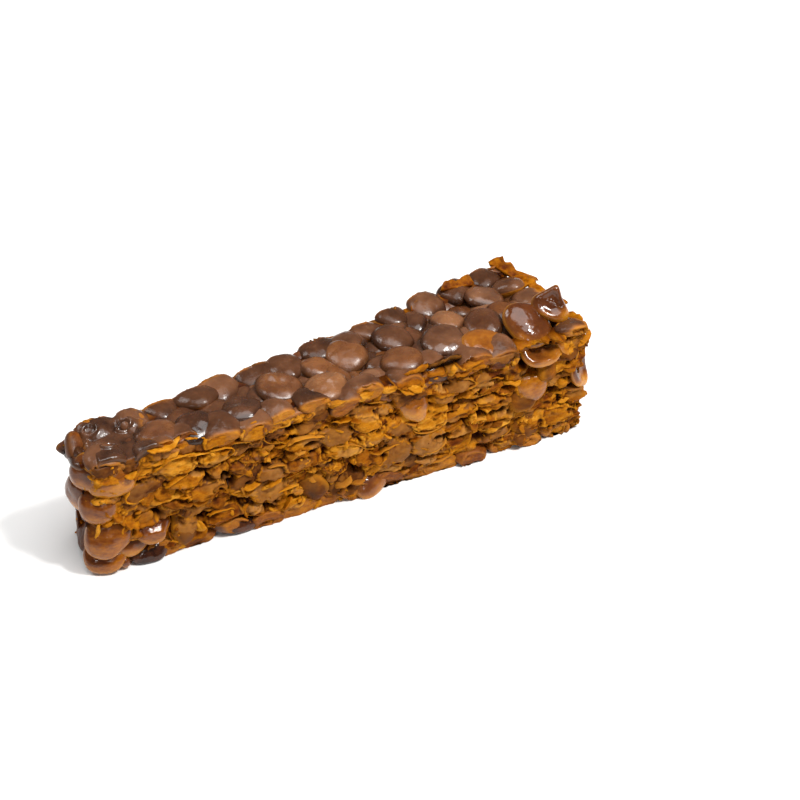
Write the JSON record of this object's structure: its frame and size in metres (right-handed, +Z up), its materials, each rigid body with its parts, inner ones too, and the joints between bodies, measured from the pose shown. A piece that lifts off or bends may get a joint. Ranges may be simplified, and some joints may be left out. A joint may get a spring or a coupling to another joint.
{
  "type": "tempeh cake",
  "caption": "Finger of pressed lentil tempeh, a bar that widens to one end, with a skin of whole lentils and torn, layered sides.",
  "frame": {"origin": "centre of the bounding box's underside, on the surface that the finger lies on", "axes": "+X along the straight front side towards the wide, broken end; +Z up through the pressed top; the front side faces -Y"},
  "size_m": [0.0939, 0.0273, 0.028],
  "materials": {
    "tempeh": "cut and torn lentil flesh, ochre brown, rough and slightly moist",
    "lentil_skin": "brown lentil coats under a thin milky film, softly glossy"
  },
  "bodies": {
    "root": {"tempeh_cake": "tempeh"}
  },
  "joints": []
}
